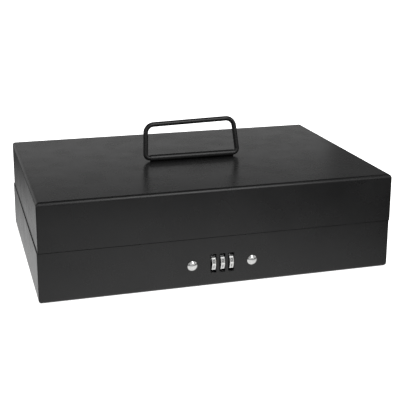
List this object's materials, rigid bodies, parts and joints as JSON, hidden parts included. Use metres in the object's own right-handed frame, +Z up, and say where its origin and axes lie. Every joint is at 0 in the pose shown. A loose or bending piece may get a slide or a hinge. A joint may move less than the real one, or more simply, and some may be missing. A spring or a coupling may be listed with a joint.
{
  "type": "cash box",
  "caption": "Black steel cash box with a lift-up lid, folding wire handle, number-wheel lock and a lift-out tray for coins and notes.",
  "frame": {"origin": "centre of the underside of the base", "axes": "+X along the width to the right, +Y from the lock to the hinge, +Z up; the lid is closed at rest"},
  "size_m": [0.3993, 0.2781, 0.1582],
  "materials": {
    "black_steel": "satin black powder coat",
    "zinc_steel": "bright zinc plate",
    "spring_steel": "blued spring steel",
    "chrome": "polished chrome plate",
    "brass": "plain brass",
    "tray_plastic": "fine grained moulded plastic",
    "note_steel": "black enamel"
  },
  "bodies": {
    "base": {"base_shell": "black_steel", "hinge_leaf_base": "black_steel", "hinge_pin": "zinc_steel", "lock_case": "zinc_steel", "lock_cover": "zinc_steel", "dial_spindle": "zinc_steel", "spindle_clips": "spring_steel", "latch_spring": "spring_steel", "latch_rivets": "zinc_steel", "detent_spring": "spring_steel", "lock_bolts": "chrome", "lock_washers": "zinc_steel", "lock_nuts": "zinc_steel", "tray_ledges": "black_steel"},
    "lid": {"lid_shell": "black_steel", "hinge_leaf_lid": "black_steel", "handle_barrel": "black_steel", "strike_bracket": "black_steel"},
    "handle": {"wire_handle": "black_steel"},
    "wheel_1": {"number_wheel_1": "chrome", "code_disc_1": "brass"},
    "wheel_2": {"number_wheel_2": "chrome", "code_disc_2": "brass"},
    "wheel_3": {"number_wheel_3": "chrome", "code_disc_3": "brass"},
    "code_lever": {"code_change_lever": "zinc_steel"},
    "tray": {"money_tray": "tray_plastic", "hold_down_rod": "zinc_steel"},
    "note_weight_1": {"note_weight_1": "note_steel"},
    "note_weight_2": {"note_weight_2": "note_steel"},
    "note_weight_3": {"note_weight_3": "note_steel"},
    "note_weight_4": {"note_weight_4": "note_steel"},
    "note_weight_5": {"note_weight_5": "note_steel"}
  },
  "joints": [
    {"name": "lid_hinge", "type": "hinge", "parent": "base", "child": "lid", "pos_m": [0, 0.1375, 0.0534], "axis": [-1, 0, 0], "range_deg": [0, 105]},
    {"name": "handle_fold", "type": "hinge", "parent": "lid", "child": "handle", "pos_m": [0.002, -0.006, 0.11387], "axis": [1, 0, 0], "range_deg": [-82, 98]},
    {"name": "wheel_1_turn", "type": "hinge", "parent": "base", "child": "wheel_1", "pos_m": [-0.0101, -0.1273, 0.0255], "axis": [1, 0, 0], "continuous": true, "deforming": ["latch_spring", "detent_spring"]},
    {"name": "wheel_2_turn", "type": "hinge", "parent": "base", "child": "wheel_2", "pos_m": [0, -0.1273, 0.0255], "axis": [1, 0, 0], "continuous": true, "deforming": ["latch_spring", "detent_spring"]},
    {"name": "wheel_3_turn", "type": "hinge", "parent": "base", "child": "wheel_3", "pos_m": [0.0101, -0.1273, 0.0255], "axis": [1, 0, 0], "continuous": true, "deforming": ["latch_spring", "detent_spring"]},
    {"name": "code_lever_slide", "type": "slide", "parent": "base", "child": "code_lever", "axis": [1, 0, 0], "range_m": [0, 0.004]},
    {"name": "tray_lift", "type": "slide", "parent": "base", "child": "tray", "axis": [0, 0, 1], "range_m": [0, 0.01]},
    {"name": "note_weight_1_swing", "type": "hinge", "parent": "tray", "child": "note_weight_1", "pos_m": [-0.1516, 0.1135, 0.079], "axis": [-1, 0, 0], "range_deg": [0, 40]},
    {"name": "note_weight_2_swing", "type": "hinge", "parent": "tray", "child": "note_weight_2", "pos_m": [-0.0758, 0.1135, 0.079], "axis": [-1, 0, 0], "range_deg": [0, 40]},
    {"name": "note_weight_3_swing", "type": "hinge", "parent": "tray", "child": "note_weight_3", "pos_m": [0, 0.1135, 0.079], "axis": [-1, 0, 0], "range_deg": [0, 40]},
    {"name": "note_weight_4_swing", "type": "hinge", "parent": "tray", "child": "note_weight_4", "pos_m": [0.0758, 0.1135, 0.079], "axis": [-1, 0, 0], "range_deg": [0, 40]},
    {"name": "note_weight_5_swing", "type": "hinge", "parent": "tray", "child": "note_weight_5", "pos_m": [0.1516, 0.1135, 0.079], "axis": [-1, 0, 0], "range_deg": [0, 40]}
  ]
}
